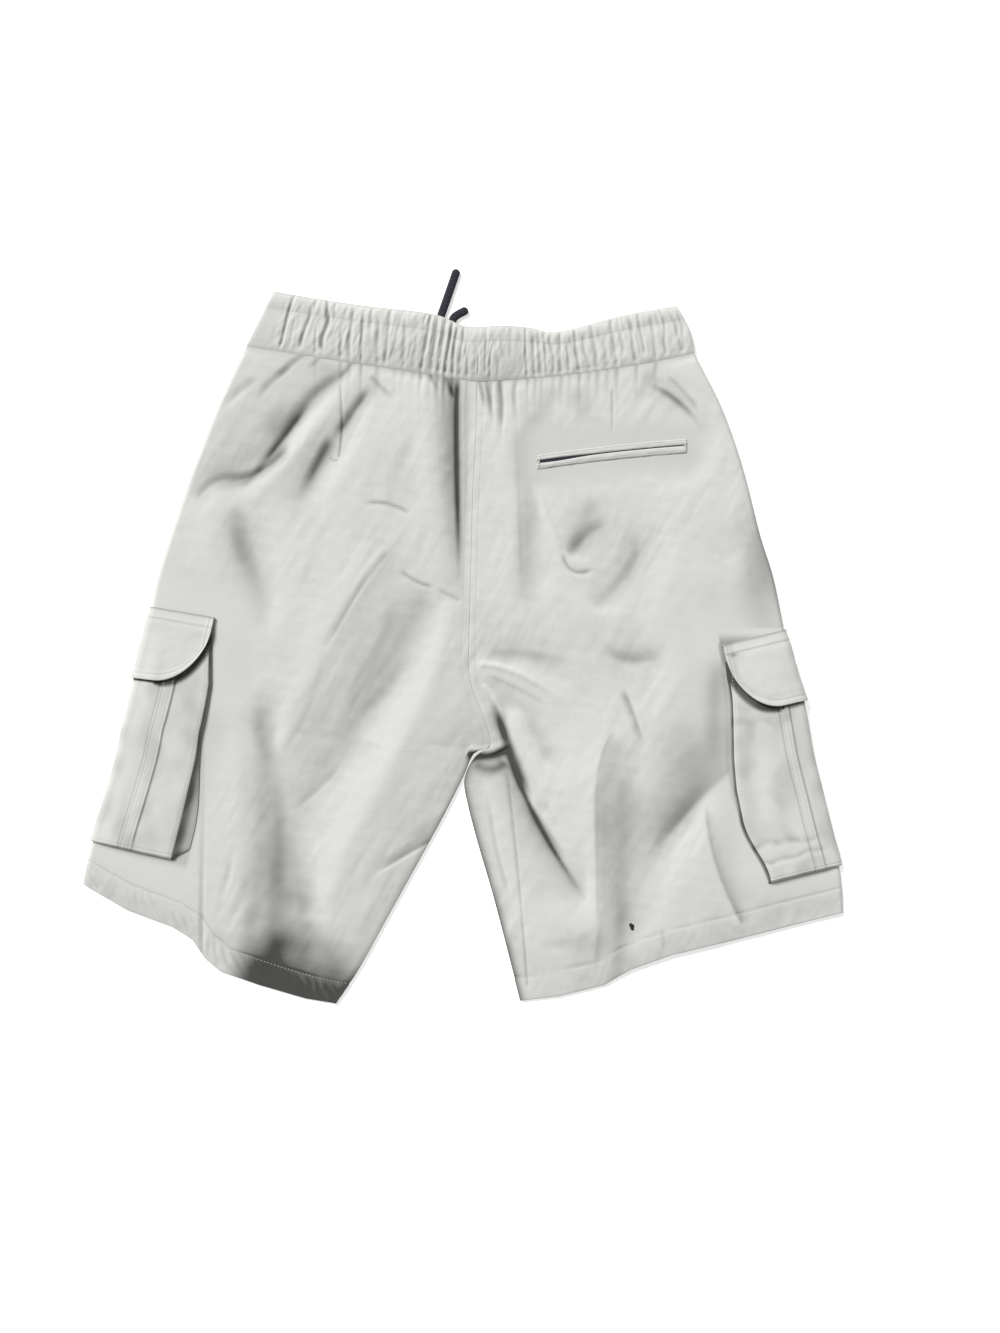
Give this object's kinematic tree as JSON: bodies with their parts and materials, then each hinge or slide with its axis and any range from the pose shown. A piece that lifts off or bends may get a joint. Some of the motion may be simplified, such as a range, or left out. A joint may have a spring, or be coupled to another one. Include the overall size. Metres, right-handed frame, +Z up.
{
  "type": "cargo shorts",
  "caption": "Cotton twill cargo shorts with a gathered elastic waistband, drawstring, side cargo pockets with flaps and a back welt pocket, laid flat on their front.",
  "frame": {"origin": "on the surface the shorts lie on, under the middle of the outline without the drawstring", "axes": "+Y toward the waistband, +Z up out of the back panels, +X toward the wearer's right leg"},
  "size_m": [0.647, 0.6265, 0.0169],
  "materials": {
    "twill": "matte cotton twill, pale stone grey",
    "cord": "flat braided cord, near-black navy",
    "eyelet": "plain nickel"
  },
  "bodies": {
    "root": {"back_left": "twill", "back_right": "twill", "front_left": "twill", "front_right": "twill", "waistband_back": "twill", "waistband_front": "twill", "cargo_pocket_left": "twill", "cargo_pocket_right": "twill", "cargo_flap_left": "twill", "cargo_flap_right": "twill", "welt_upper": "twill", "welt_lower": "twill", "drawstring_left": "cord", "drawstring_right": "cord", "eyelet_left": "eyelet", "eyelet_right": "eyelet"}
  },
  "joints": []
}
